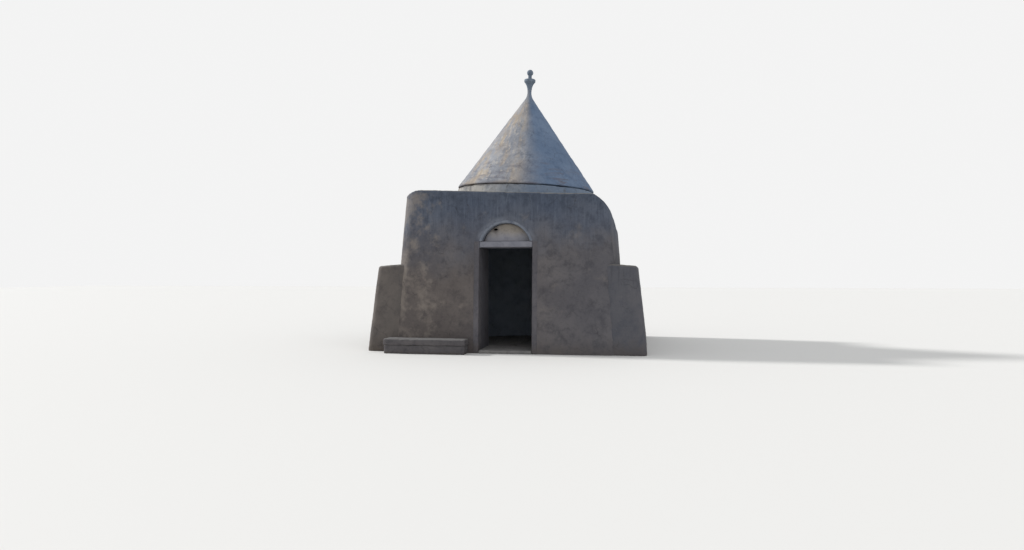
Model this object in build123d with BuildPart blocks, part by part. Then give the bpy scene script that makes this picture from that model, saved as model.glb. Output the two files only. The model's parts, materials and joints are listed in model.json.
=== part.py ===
from build123d import *
import os
from math import cos, pi, radians, sin, tan

os.makedirs("parts", exist_ok=True)

# A plastered stone trullo: one round room inside a battered, rounded-square
# block of masonry, under a corbelled dome and a cone with a pinnacle.
# Millimetres, +Z up. The origin is on the ground under the axis of the room
# and of the door, and the door faces -Y.

# Block of the walls
WALL_HEIGHT = 2940
HALF_WIDTH = 2160
HALF_DEPTH = 2140
WALL_SHIFT = -50
SIDE_BATTER = 4.4
FRONT_BATTER = 3.0
CORNER_RADIUS = 240
FACE_BULGE = 30
SHOULDER_MARGIN = 22
RIGHT_SHOULDER_DROP = 540
RIGHT_SHOULDER_BULGE = 75
RIGHT_SHOULDER_TURN = 1.6
LEFT_SHOULDER_DROP = 130
LEFT_SHOULDER_BULGE = 62

# Room and its floor
ROOM_RADIUS = 1300
FLOOR_THICKNESS = 50
FLOOR_JOINT = 0.5

# Doorway, its surround and the lunette above it
DOOR_WIDTH = 1000
DOOR_HEIGHT = 1970
LINTEL_HEIGHT = 110
LINTEL_BEARING = 160
SPANDREL_BEARING = 250
SURROUND_WIDTH = 100
SURROUND_DEPTH = 110
SURROUND_PROUD = 12
ARCH_CENTRE_DROP = 20
ARCH_SPREAD = 25
ARCH_RIM_WIDTH = 55
LUNETTE_RECESS = 130
LUNETTE_THICKNESS = 180
VENT_WIDTH = 80
VENT_HEIGHT = 42
VENT_OFFSET = 226
VENT_ABOVE_LINTEL = 230
THRESHOLD_HEIGHT = 60
THRESHOLD_PROUD = 25

# Low ledges along both sides
LEDGE_WIDTH = 480
LEDGE_HEIGHT = 1655
LEDGE_BATTER = 6.4
LEDGE_FALL = 4.5
LEDGE_SETBACK = 14
LEDGE_CORNER_RADIUS = 110
LEDGE_EDGE_RADIUS = 45

# Bench left of the door
BENCH_LENGTH = 1560
BENCH_DEPTH = 360
BENCH_HEIGHT = 275
BENCH_SEAT_THICKNESS = 120
BENCH_SEAT_OVERHANG = 15
BENCH_DOOR_GAP = 75

# Roof: it stands and leans a little towards the right of the door
ROOF_LEAN = 2.2
ROOF_SHIFT = 45
TERRACE_THICKNESS = 60
TERRACE_EDGE_RADIUS = 35
BAND_HEIGHT = 225
BAND_FLARE = 50
CONE_FOOT_RADIUS = 1432
CONE_OVERHANG = 14
CONE_LIP = 30
CONE_HEIGHT = 1732
CONE_SHELL = 200
TIP_FOOT_RADIUS = 240
TIP_HEIGHT = 417
TIP_STRAIGHT_RADIUS = 90
NECK_RADIUS = 47
CUP_RADIUS = 118
CUP_HEIGHT = 229
CUP_RIM_HEIGHT = 58
CUP_RIM_EDGE = 12
BALL_RADIUS = 67
BALL_NECK_RADIUS = 38
BALL_NECK_HEIGHT = 70

# Corbelled dome: its lower rings lie in the thickness of the walls, the rest in the cone
WALL_RING_HEIGHT = 200
SEAT_MARGIN = 18
RING_DEPTH = 190
CLOSING_RADIUS = 180
DOME_CURVE = 1.4
STONE_LENGTH = 540
FEWEST_STONES = 6
CAPSTONE_THICKNESS = 120
DRY_JOINT = 4
CLEARANCE = 2
OVERCUT = 1

WALL_RINGS = ("dome_ring_1", "dome_ring_2", "dome_ring_3")
CONE_RINGS = ("dome_ring_4", "dome_ring_5", "dome_ring_6", "dome_ring_7", "dome_ring_8", "dome_ring_9",
              "dome_ring_10")
CONE_COURSES = ("cone_lower", "cone_middle", "cone_upper")
WALL_LENGTHS = ("right_wall_rear", "back_wall_right", "back_wall_left", "left_wall_rear",
                "left_wall_front", "front_wall_left", "front_wall_right", "right_wall_front")

# Places worked out from the sizes above
door_half = DOOR_WIDTH / 2
lintel_top = DOOR_HEIGHT + LINTEL_HEIGHT
arch_centre = DOOR_HEIGHT - ARCH_CENTRE_DROP
arch_outer = door_half + ARCH_SPREAD
arch_inner = arch_outer - ARCH_RIM_WIDTH
crown_height = arch_centre + arch_outer
terrace_height = WALL_HEIGHT + TERRACE_THICKNESS
spring_height = WALL_HEIGHT - len(WALL_RINGS) * WALL_RING_HEIGHT
band_head_radius = CONE_FOOT_RADIUS - CONE_OVERHANG
band_foot_radius = band_head_radius + BAND_FLARE
dome_seat_radius = max(ROOM_RADIUS + RING_DEPTH, band_foot_radius + SEAT_MARGIN)
ledge_foot = HALF_WIDTH + LEDGE_WIDTH - WALL_SHIFT
cut_reach = 2 * ledge_foot
top_margin = cut_reach * sin(radians(ROOF_LEAN))


def half_width_at(height):
    return HALF_WIDTH - height * tan(radians(SIDE_BATTER))


def half_depth_at(height):
    return HALF_DEPTH - height * tan(radians(FRONT_BATTER))


surround_back = -(half_depth_at(crown_height) - SURROUND_DEPTH)
panel_front = -(half_depth_at(crown_height) - LUNETTE_RECESS)

# The roof stands in its own leaning frame, whose zero is the top of the terrace
roof_axis = (sin(radians(ROOF_LEAN)), 0, cos(radians(ROOF_LEAN)))
roof_frame = Plane(
    origin=(ROOF_SHIFT, 0, terrace_height), x_dir=(cos(radians(ROOF_LEAN)), 0, -sin(radians(ROOF_LEAN))),
    z_dir=roof_axis)
roof_line = Axis(roof_frame.origin, roof_axis)
wall_top = roof_frame.offset(-TERRACE_THICKNESS)
roof_section = Plane(origin=roof_frame.origin, x_dir=roof_frame.x_dir, z_dir=-roof_frame.y_dir)
upright_section = Plane.XZ


def rounded_square(plane, w, d, proud=0):
    """A rounded square about the walls' middle, from half its width and depth, with convex sides."""
    middle = WALL_SHIFT - plane.origin.X
    left, right = middle - w, middle + w
    with BuildSketch(plane) as outline:
        with BuildLine():
            ThreePointArc((left, -d), (middle, -d - FACE_BULGE), (right, -d))
            ThreePointArc((right, -d), (right + FACE_BULGE, 0), (right, d))
            ThreePointArc((right, d), (middle, d + FACE_BULGE), (left, d))
            ThreePointArc((left, d), (left - FACE_BULGE, 0), (left, -d))
        make_face()
        fillet(outline.vertices(), radius=CORNER_RADIUS)
        if proud:
            offset(amount=proud)
    return outline.sketch


def block_outline(height, proud=0):
    """The plan of the wall block at one height."""
    return rounded_square(Plane.XY.offset(height), half_width_at(height), half_depth_at(height), proud)


# The block's outer form, and the same form a little prouder for the door surround
with BuildPart() as block:
    loft([block_outline(0), block_outline(WALL_HEIGHT + top_margin)])
    split(bisect_by=roof_frame, keep=Keep.BOTTOM)

with BuildPart() as proud_block:
    loft([block_outline(0, SURROUND_PROUD), block_outline(WALL_HEIGHT, SURROUND_PROUD)])

def worn_shoulder(side, drop, bulge, turned=0):
    """The form that is missing along the top of one side, from beside the band down to the wall's face."""
    reach = band_foot_radius + SHOULDER_MARGIN
    high = (ROOF_SHIFT + side * reach, terrace_height - side * reach * tan(radians(ROOF_LEAN)))
    foot_level = high[1] - drop
    low = (WALL_SHIFT + side * (half_width_at(foot_level) + FACE_BULGE), foot_level)
    along = radians(turned)
    with BuildPart() as missing:
        with BuildSketch(Plane(origin=(0, 0, 0), x_dir=(cos(along), sin(along), 0),
                               z_dir=(sin(along), -cos(along), 0))):
            with BuildLine():
                SagittaArc(high, low, side * bulge)
                Polyline(low, (side * cut_reach, foot_level), (side * cut_reach, WALL_HEIGHT + top_margin),
                         (high[0], WALL_HEIGHT + top_margin), high)
            make_face()
        extrude(amount=cut_reach, both=True)
    return missing.part


# The right side is worn further, and draws in towards the back
right_shoulder = worn_shoulder(1, RIGHT_SHOULDER_DROP, RIGHT_SHOULDER_BULGE, RIGHT_SHOULDER_TURN)
left_shoulder = worn_shoulder(-1, LEFT_SHOULDER_DROP, LEFT_SHOULDER_BULGE)


def box_between(low, high):
    """A plain block from its lowest to its highest corner."""
    with BuildPart() as plain:
        with BuildSketch(Plane.XY.offset(low[2])):
            with Locations(((low[0] + high[0]) / 2, (low[1] + high[1]) / 2)):
                Rectangle(high[0] - low[0], high[1] - low[1])
        extrude(amount=high[2] - low[2])
    return plain.part


def arch_bar(radius, front, back):
    """The round-headed bar above the lintel, along the door's axis."""
    with BuildPart() as bar:
        with BuildSketch(Plane.XZ.offset(-back)) as head:
            with Locations((0, arch_centre)):
                Circle(radius)
            with Locations((0, lintel_top - cut_reach / 2)):
                Rectangle(cut_reach, cut_reach, mode=Mode.SUBTRACT)
        extrude(amount=back - front)
    return bar.part


def room_space(height, radius, from_height=0):
    """The round space of the room or of the dome's seat."""
    with BuildPart() as space:
        with BuildSketch(Plane.XY.offset(from_height)):
            Circle(radius)
        extrude(amount=height)
    return space.part


outside = -cut_reach
doorway = box_between((-door_half, outside, -OVERCUT), (door_half, 0, DOOR_HEIGHT))
surround_slot = box_between((-door_half - SURROUND_WIDTH, outside, -OVERCUT),
                            (door_half + SURROUND_WIDTH, surround_back, lintel_top))
surround_arch = arch_bar(arch_outer, outside, surround_back)
lunette_void = arch_bar(arch_inner, outside, 0)
lintel_slot = box_between((-door_half - LINTEL_BEARING, surround_back, DOOR_HEIGHT),
                          (door_half + LINTEL_BEARING, 0, lintel_top))
room = room_space(spring_height + OVERCUT, ROOM_RADIUS, -OVERCUT)
dome_seat = room_space(WALL_HEIGHT + top_margin, dome_seat_radius, spring_height)

# All the masonry of the walls as one ring, before it is divided
with BuildPart() as masonry:
    add(block.part)
    split(bisect_by=wall_top, keep=Keep.BOTTOM)
    add(room, mode=Mode.SUBTRACT)
    add(dome_seat, mode=Mode.SUBTRACT)
    add(right_shoulder, mode=Mode.SUBTRACT)
    add(left_shoulder, mode=Mode.SUBTRACT)
    add(doorway, mode=Mode.SUBTRACT)
    add(surround_slot, mode=Mode.SUBTRACT)
    add(surround_arch, mode=Mode.SUBTRACT)
    add(lunette_void, mode=Mode.SUBTRACT)
    add(lintel_slot, mode=Mode.SUBTRACT)

# The wall over the door bears on the walls beside it
spandrel_half = door_half + SPANDREL_BEARING
spandrel_space = box_between((-spandrel_half, outside, lintel_top), (spandrel_half, 0, WALL_HEIGHT + top_margin))
with BuildPart() as front_wall_over_door:
    add(masonry.part)
    add(spandrel_space, mode=Mode.INTERSECT)
front_wall_over_door.part.label = "front_wall_over_door"
export_step(front_wall_over_door.part, "parts/front_wall_over_door.step")

# Eight lengths of wall, each an eighth of a turn about the axis
turn = 360 / len(WALL_LENGTHS)
for count, name in enumerate(WALL_LENGTHS):
    with BuildPart() as wall:
        add(masonry.part)
        with BuildSketch(Plane.XY.offset(-OVERCUT)):
            with BuildLine():
                start = count * turn
                near = (cut_reach * cos(radians(start)), cut_reach * sin(radians(start)))
                far = (cut_reach * cos(radians(start + turn)), cut_reach * sin(radians(start + turn)))
                Polyline((0, 0), near, far, (0, 0))
            make_face()
        extrude(amount=WALL_HEIGHT + top_margin, mode=Mode.INTERSECT)
        add(spandrel_space, mode=Mode.SUBTRACT)
    wall.part.label = name
    export_step(wall.part, f"parts/{name}.step")

# Ledges along both sides, flush with the front and the back: a battered profile between two battered ends
ledge_inside = HALF_WIDTH - CORNER_RADIUS - WALL_SHIFT
ledge_fall = tan(radians(LEDGE_FALL))
ledge_batter = tan(radians(LEDGE_BATTER))
ledge_wall_side = half_width_at(LEDGE_HEIGHT) - WALL_SHIFT
ledge_outer_top = (LEDGE_HEIGHT - (ledge_foot - ledge_wall_side) * ledge_fall) / (1 - ledge_batter * ledge_fall)
ledge_inner_top = LEDGE_HEIGHT + (ledge_wall_side - ledge_inside) * ledge_fall
with BuildPart() as left_ledge:
    with BuildSketch(upright_section):
        with BuildLine():
            Polyline((-ledge_foot, 0), (-ledge_inside, 0), (-ledge_inside, ledge_inner_top),
                     (-ledge_foot + ledge_outer_top * ledge_batter, ledge_outer_top), close=True)
        make_face()
    extrude(amount=HALF_DEPTH, both=True)
    for side in (-1, 1):
        end_plane = Plane(origin=(0, side * (HALF_DEPTH - LEDGE_SETBACK), 0),
                          z_dir=(0, side * cos(radians(FRONT_BATTER)), sin(radians(FRONT_BATTER))))
        split(bisect_by=end_plane, keep=Keep.BOTTOM)
    fillet(left_ledge.faces().sort_by(Axis.X)[0].edges().sort_by(Axis.Z)[1:-1], radius=LEDGE_CORNER_RADIUS)
    fillet(left_ledge.faces().sort_by(Axis.Z)[-1].edges().sort_by(Axis.X)[:-1], radius=LEDGE_EDGE_RADIUS)
    add(block.part, mode=Mode.SUBTRACT)
left_ledge.part.label = "left_ledge"
export_step(left_ledge.part, "parts/left_ledge.step")

with BuildPart() as right_ledge:
    add(mirror(left_ledge.part, about=Plane.YZ.offset(WALL_SHIFT), mode=Mode.PRIVATE))
right_ledge.part.label = "right_ledge"
export_step(right_ledge.part, "parts/right_ledge.step")

# Door surround: two upright strips and the strip round the arch
for name, side in (("door_jamb_left", -1), ("door_jamb_right", 1)):
    inner = side * door_half
    outer = side * (door_half + SURROUND_WIDTH)
    with BuildPart() as jamb:
        add(proud_block.part)
        add(box_between((min(inner, outer), outside, 0), (max(inner, outer), surround_back, lintel_top)),
            mode=Mode.INTERSECT)
    jamb.part.label = name
    export_step(jamb.part, f"parts/{name}.step")

with BuildPart() as door_arch:
    add(proud_block.part)
    add(arch_bar(arch_outer - CLEARANCE, outside, surround_back), mode=Mode.INTERSECT)
    add(lunette_void, mode=Mode.SUBTRACT)
door_arch.part.label = "door_arch"
export_step(door_arch.part, "parts/door_arch.step")

# The lintel shows between the strips and bears on the walls behind them
with BuildPart() as door_lintel:
    add(block.part)
    add(box_between((-door_half - LINTEL_BEARING, outside, DOOR_HEIGHT),
                    (door_half + LINTEL_BEARING, 0, lintel_top)), mode=Mode.INTERSECT)
    add(room, mode=Mode.SUBTRACT)
    add(dome_seat, mode=Mode.SUBTRACT)
    for side in (-1, 1):
        low_x = min(side * door_half, side * cut_reach)
        high_x = max(side * door_half, side * cut_reach)
        add(box_between((low_x, outside, 0), (high_x, surround_back, WALL_HEIGHT)), mode=Mode.SUBTRACT)
door_lintel.part.label = "door_lintel"
export_step(door_lintel.part, "parts/door_lintel.step")

with BuildPart() as lunette_panel:
    add(arch_bar(arch_inner - CLEARANCE, panel_front, panel_front + LUNETTE_THICKNESS))
    with BuildSketch(Plane.XZ.offset(-panel_front)):
        with Locations((-VENT_OFFSET, lintel_top + VENT_ABOVE_LINTEL)):
            Ellipse(VENT_WIDTH / 2, VENT_HEIGHT / 2)
    extrude(amount=-LUNETTE_THICKNESS, mode=Mode.SUBTRACT)
lunette_panel.part.label = "lunette_panel"
export_step(lunette_panel.part, "parts/lunette_panel.step")

with BuildPart() as door_threshold:
    add(box_between((-door_half + CLEARANCE, -HALF_DEPTH - FACE_BULGE - THRESHOLD_PROUD, 0),
                    (door_half - CLEARANCE, 0, THRESHOLD_HEIGHT)))
    add(room, mode=Mode.SUBTRACT)
    fillet(door_threshold.edges().filter_by(Axis.X).group_by(Axis.Y)[0].group_by(Axis.Z)[-1],
           radius=THRESHOLD_PROUD / 2)
door_threshold.part.label = "door_threshold"
export_step(door_threshold.part, "parts/door_threshold.step")

with BuildPart() as room_floor:
    add(room_space(FLOOR_THICKNESS, ROOM_RADIUS - FLOOR_JOINT))
room_floor.part.label = "room_floor"
export_step(room_floor.part, "parts/room_floor.step")

# Bench: a seat slab on a low base, both against the front wall
bench_right = -(door_half + SURROUND_WIDTH + BENCH_DOOR_GAP)
bench_left = bench_right - BENCH_LENGTH
bench_front = -HALF_DEPTH - BENCH_DEPTH
bench_base_height = BENCH_HEIGHT - BENCH_SEAT_THICKNESS
with BuildPart() as bench_seat:
    add(box_between((bench_left, bench_front, bench_base_height), (bench_right, -ROOM_RADIUS, BENCH_HEIGHT)))
    add(block.part, mode=Mode.SUBTRACT)
    add(left_ledge.part, mode=Mode.SUBTRACT)
    fillet(bench_seat.edges().filter_by(Axis.X).group_by(Axis.Y)[0].group_by(Axis.Z)[-1],
           radius=BENCH_SEAT_OVERHANG)
bench_seat.part.label = "bench_seat"
export_step(bench_seat.part, "parts/bench_seat.step")

with BuildPart() as bench_base:
    add(box_between((bench_left + BENCH_SEAT_OVERHANG, bench_front + BENCH_SEAT_OVERHANG, 0),
                    (bench_right - BENCH_SEAT_OVERHANG, -ROOM_RADIUS, bench_base_height)))
    add(block.part, mode=Mode.SUBTRACT)
    add(left_ledge.part, mode=Mode.SUBTRACT)
bench_base.part.label = "bench_base"
export_step(bench_base.part, "parts/bench_base.step")

# Terrace: the plastered top of the walls round the cone
with BuildPart() as roof_terrace:
    extrude(rounded_square(wall_top, half_width_at(terrace_height), half_depth_at(terrace_height)),
            amount=TERRACE_THICKNESS)
    fillet(roof_terrace.faces().sort_by(roof_line)[-1].edges(), radius=TERRACE_EDGE_RADIUS)
    add(right_shoulder, mode=Mode.SUBTRACT)
    add(left_shoulder, mode=Mode.SUBTRACT)
    with BuildSketch(wall_top):
        Circle(band_foot_radius + CLEARANCE)
    extrude(amount=2 * TERRACE_THICKNESS, mode=Mode.SUBTRACT)
roof_terrace.part.label = "roof_terrace"
export_step(roof_terrace.part, "parts/roof_terrace.step")

# Band under the cone, flared towards its foot
shell_foot_radius = CONE_FOOT_RADIUS - CONE_SHELL
with BuildPart() as eave_band:
    with BuildSketch(roof_section):
        with BuildLine():
            Polyline((shell_foot_radius, -TERRACE_THICKNESS), (band_foot_radius, -TERRACE_THICKNESS),
                     (band_foot_radius, 0), (band_head_radius, BAND_HEIGHT), (shell_foot_radius, BAND_HEIGHT),
                     close=True)
        make_face()
    revolve(axis=roof_line)
eave_band.part.label = "eave_band"
export_step(eave_band.part, "parts/eave_band.step")

# Cone: courses of shell one on another with the same slope, over a lip that overhangs the band
lip_top = BAND_HEIGHT + CONE_LIP
cone_top = BAND_HEIGHT + CONE_HEIGHT
cone_slope = (CONE_FOOT_RADIUS - TIP_FOOT_RADIUS) / (cone_top - lip_top)


def cone_radius(height):
    """Outside of the cone at one height above the terrace."""
    return CONE_FOOT_RADIUS - cone_slope * max(0, height - lip_top)


def shell_radius(height):
    """Inside of the band and of the cone's shell at one height above the terrace."""
    return cone_radius(height) - CONE_SHELL


# The dome closes where the shell leaves room for one ring round the smallest opening
rings_top = lip_top + (shell_foot_radius - RING_DEPTH - CLOSING_RADIUS) / cone_slope
cone_ring_height = (rings_top + TERRACE_THICKNESS) / len(CONE_RINGS)
capstone_top = rings_top + CAPSTONE_THICKNESS
course_height = CONE_HEIGHT / len(CONE_COURSES)
for course, name in enumerate(CONE_COURSES):
    foot = BAND_HEIGHT + course * course_height
    head = foot + course_height
    bend = max(foot, lip_top)
    hollow_head = min(head, capstone_top + CLEARANCE)
    with BuildPart() as cone_course:
        with BuildSketch(roof_section):
            with BuildLine():
                profile = [(shell_radius(foot), foot), (cone_radius(foot), foot)]
                if bend > foot:
                    profile = [(shell_radius(bend), bend)] + profile + [(cone_radius(bend), bend)]
                profile = profile + [(cone_radius(head), head)]
                if hollow_head < head:
                    profile = profile + [(0, head), (0, hollow_head)]
                Polyline(*profile, (shell_radius(hollow_head), hollow_head), close=True)
            make_face()
        revolve(axis=roof_line)
    cone_course.part.label = name
    export_step(cone_course.part, f"parts/{name}.step")

# Tip: the cone's slope goes on, then draws in to the neck of the pinnacle
tip_top = cone_top + TIP_HEIGHT
straight_top = cone_top + (TIP_FOOT_RADIUS - TIP_STRAIGHT_RADIUS) / cone_slope
with BuildPart() as cone_tip:
    with BuildSketch(roof_section):
        with BuildLine():
            Line((TIP_FOOT_RADIUS, cone_top), (TIP_STRAIGHT_RADIUS, straight_top))
            TangentArc((TIP_STRAIGHT_RADIUS, straight_top), (NECK_RADIUS, tip_top), tangent=(-cone_slope, 1))
            Polyline((NECK_RADIUS, tip_top), (0, tip_top), (0, cone_top), (TIP_FOOT_RADIUS, cone_top))
        make_face()
    revolve(axis=roof_line)
cone_tip.part.label = "cone_tip"
export_step(cone_tip.part, "parts/cone_tip.step")

cup_top = tip_top + CUP_HEIGHT
rim_foot = cup_top - CUP_RIM_HEIGHT
with BuildPart() as pinnacle_cup:
    with BuildSketch(roof_section) as cup_profile:
        with BuildLine():
            TangentArc((NECK_RADIUS, tip_top), (CUP_RADIUS, rim_foot), tangent=(0, 1))
            Polyline((CUP_RADIUS, rim_foot), (CUP_RADIUS, cup_top), (0, cup_top), (0, tip_top),
                     (NECK_RADIUS, tip_top))
        make_face()
        chamfer(cup_profile.vertices().group_by(roof_line)[-1].sort_by(Axis.X)[-1], length=CUP_RIM_EDGE)
    revolve(axis=roof_line)
pinnacle_cup.part.label = "pinnacle_cup"
export_step(pinnacle_cup.part, "parts/pinnacle_cup.step")

ball_centre = cup_top + BALL_NECK_HEIGHT + BALL_RADIUS
neck_meets_ball = ball_centre - (BALL_RADIUS**2 - BALL_NECK_RADIUS**2) ** 0.5
with BuildPart() as pinnacle_ball:
    with BuildSketch(roof_section):
        with BuildLine():
            ThreePointArc((BALL_NECK_RADIUS, neck_meets_ball), (BALL_RADIUS, ball_centre),
                          (0, ball_centre + BALL_RADIUS))
            Polyline((0, ball_centre + BALL_RADIUS), (0, cup_top), (BALL_NECK_RADIUS, cup_top),
                     (BALL_NECK_RADIUS, neck_meets_ball))
        make_face()
    revolve(axis=roof_line)
pinnacle_ball.part.label = "pinnacle_ball"
export_step(pinnacle_ball.part, "parts/pinnacle_ball.step")

# Corbelled dome: rings of separate wedge-shaped stones, each ring reaching further in. The lower rings
# curve in from the room's wall, and the others follow the slope of the cone's shell.


def cone_ring_head(ring):
    """Height of a cone ring's upper bed above the terrace."""
    return (ring + 1) * cone_ring_height - TERRACE_THICKNESS


def ring_inner_radius(ring):
    """Opening inside a ring, counted from the dome's springing."""
    curved = len(WALL_RINGS) + 1
    following = shell_radius(cone_ring_head(max(1, ring - len(WALL_RINGS)))) - RING_DEPTH
    if ring >= curved:
        return following
    return ROOM_RADIUS - (ROOM_RADIUS - following) * (ring / curved) ** DOME_CURVE


def dome_stone(radial_plane, half_turn, inner, outer, head_outer, height):
    """One stone with flat sides half a joint from its neighbours' and a tail along the shell's slope."""
    tail = outer * cos(half_turn)
    head_tail = head_outer * cos(half_turn)
    inner_half = inner * tan(half_turn) - DRY_JOINT / 2 / cos(half_turn)
    tail_half = tail * tan(half_turn) - DRY_JOINT / 2 / cos(half_turn)
    with BuildPart() as stone:
        with BuildSketch(radial_plane):
            with BuildLine():
                Polyline((inner, -inner_half), (tail, -tail_half), (tail, tail_half), (inner, inner_half),
                         close=True)
            make_face()
        extrude(amount=height)
        if head_tail < tail:
            tail_plane = Plane(origin=radial_plane.origin + radial_plane.x_dir * tail,
                               z_dir=radial_plane.x_dir * height + radial_plane.z_dir * (tail - head_tail))
            split(bisect_by=tail_plane, keep=Keep.BOTTOM)
    return stone.part


def ring_of_stones(bed_plane, height, outer, head_outer, ring):
    """A ring of stones on one bed, turned half a stone from the ring under it."""
    inner = ring_inner_radius(ring)
    count = round(max(FEWEST_STONES, pi * (inner + outer) / STONE_LENGTH))
    with BuildPart() as stones:
        for place in range(count):
            turned = (place + ring % 2 / 2) * 2 * pi / count
            radial_plane = Plane(origin=bed_plane.origin, z_dir=bed_plane.z_dir,
                                 x_dir=bed_plane.x_dir * cos(turned) + bed_plane.y_dir * sin(turned))
            add(dome_stone(radial_plane, pi / count, inner, outer, head_outer, height))
    return stones.part


for ring, name in enumerate(WALL_RINGS + CONE_RINGS):
    with BuildPart() as dome_ring:
        if ring < len(WALL_RINGS):
            bed = Plane.XY.offset(spring_height + ring * WALL_RING_HEIGHT)
            seat = dome_seat_radius - CLEARANCE
            last = ring == len(WALL_RINGS) - 1
            add(ring_of_stones(bed, WALL_RING_HEIGHT + (top_margin if last else 0), seat, seat, ring))
            if last:
                split(bisect_by=wall_top, keep=Keep.BOTTOM)
        else:
            head = cone_ring_head(ring - len(WALL_RINGS))
            bed = roof_frame.offset(head - cone_ring_height)
            add(ring_of_stones(bed, cone_ring_height, shell_radius(head - cone_ring_height) - CLEARANCE,
                               shell_radius(head) - CLEARANCE, ring))
    dome_ring.part.label = name
    export_step(dome_ring.part, f"parts/{name}.step")

with BuildPart() as dome_capstone:
    with BuildSketch(roof_section):
        with BuildLine():
            Polyline((0, rings_top), (shell_radius(rings_top) - CLEARANCE, rings_top),
                     (shell_radius(capstone_top) - CLEARANCE, capstone_top), (0, capstone_top), close=True)
        make_face()
    revolve(axis=roof_line)
dome_capstone.part.label = "dome_capstone"
export_step(dome_capstone.part, "parts/dome_capstone.step")
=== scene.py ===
import json
from math import asin, ceil, copysign, cos, fsum, hypot, pi, radians, sin, tan

import bmesh
import bpy
import numpy as np
from mathutils import Matrix, Vector, noise
from mathutils.bvhtree import BVHTree

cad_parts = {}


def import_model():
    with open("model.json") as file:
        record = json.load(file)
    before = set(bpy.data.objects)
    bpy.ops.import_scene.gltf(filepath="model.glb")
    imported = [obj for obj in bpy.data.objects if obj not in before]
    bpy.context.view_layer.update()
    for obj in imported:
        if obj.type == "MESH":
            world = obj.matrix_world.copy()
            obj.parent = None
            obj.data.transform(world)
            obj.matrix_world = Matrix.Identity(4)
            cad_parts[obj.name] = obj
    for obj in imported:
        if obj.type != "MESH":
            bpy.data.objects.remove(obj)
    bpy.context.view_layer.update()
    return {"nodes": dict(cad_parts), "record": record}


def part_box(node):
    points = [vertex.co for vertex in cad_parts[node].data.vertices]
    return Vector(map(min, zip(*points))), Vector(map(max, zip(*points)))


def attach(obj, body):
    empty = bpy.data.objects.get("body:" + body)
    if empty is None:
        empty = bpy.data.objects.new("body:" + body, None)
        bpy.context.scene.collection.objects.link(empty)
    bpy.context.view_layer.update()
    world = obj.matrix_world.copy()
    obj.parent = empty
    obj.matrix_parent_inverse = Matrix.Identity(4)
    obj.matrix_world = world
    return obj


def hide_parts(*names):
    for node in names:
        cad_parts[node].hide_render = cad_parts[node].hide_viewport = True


# A weathered trullo: hand-laid render over its walls, ledges and cone, worn
# stone at its bench and pinnacle, and dry stone inside. Metres, +Z up.

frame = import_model()

# Sizes shared with the solids
WALL_HALF_WIDTH = 2.16
WALL_HALF_DEPTH = 2.14
WALL_SHIFT = -0.05
WALL_HEIGHT = 2.94
WALL_CORNER = 0.24
FACE_BULGE = 0.03
SIDE_BATTER = 4.4
FRONT_BATTER = 3.0
ROOM_RADIUS = 1.30
FLOOR_TOP = 0.05
SPRING_HEIGHT = 2.34
DOOR_HALF = 0.50
DOOR_HEIGHT = 1.97
LINTEL_TOP = 2.08
STRIP_OUTER = 0.60
ARCH_CENTRE = 1.95
ARCH_OUTER = 0.525
TERRACE_HEIGHT = 3.0
ROOF_LEAN = radians(2.2)
ROOF_SHIFT = 0.045
BAND_HEIGHT = 0.225
CONE_OVERHANG = 0.014
SHELL_THICKNESS = 0.2
NECK_IN_CUP = 0.018
VENT_X = -0.226
VENT_HEIGHT = 2.300

# Render laid over the walls, and the grids that carry it
COAT = 0.007
COAT_LEAST = 0.0015
EDGE_LEAST = 0.003
COAT_AT_DOOR = 0.003
FRONT_GRID = 0.016
BACK_GRID = 0.024
SIDE_GRID = 0.024
FRONT_TOP_ROWS = 68
OTHER_TOP_ROWS = 56
BEHIND_LEDGES = 1.5
PLAIN_HALF = 0.8

# Rays that find the walls: straight in below the turn, then swung over the edge
TURN_HEIGHT = 2.52
TURN_DEPTH = 0.30
TURN_STEP = radians(1.05)
TURN_STEPS = 160
PROBE_START = 0.3
PROBE_REACH = 0.9
FAR = 4

# Where the coat stops or thins out
UNDER_TRIM = 0.025
DOOR_FADE = 0.14
SEAM_START = 1.80
SEAM_TOP = 1.75

# Skins of the roof
CONE_ROW = 0.017
CONE_COLUMNS = 500
BAND_ROWS = 22
BAND_COLUMNS = 560
COURSE_HEIGHT = 0.17

# Where the finishes change
REVEAL_EDGE = 2.03
REVEAL_FULL = 1.95
LUNETTE_EDGE_DARK_START = 0.415
LUNETTE_EDGE_DARK_FULL = 0.47

# Camera
EYE = (2.496, -15.570, 1.5)
EYE_YAW = radians(9.973)
EYE_PITCH = radians(-0.196)
FOCAL_PIXELS = 740
FRAME_PIXELS = 1024
SENSOR_WIDTH = 36

roof_origin = Vector((ROOF_SHIFT, 0, TERRACE_HEIGHT))
roof_matrix = Matrix.Translation(roof_origin) @ Matrix.Rotation(ROOF_LEAN, 4, "Y")
band_foot = (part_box("eave_band")[1].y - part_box("eave_band")[0].y) / 2


# Relief


def waves(place, size, octaves=3):
    """Smooth noise from about -1 to 1 whose bumps are about the given size across."""
    return noise.fractal(place / size, 1.0, 2.0, octaves)


def patches(place, size, cover, edge=0.08):
    """0 outside and 1 inside irregular patches; cover from 0 to 1 says how much they take."""
    level = 0.5 + 0.62 * noise.fractal(place / size, 0.9, 2.1, 4)
    return smooth_step((level - (1 - cover)) / edge + 0.5)


def smooth_step(value):
    value = min(1.0, max(0.0, value))
    return value * value * (3 - 2 * value)


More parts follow.
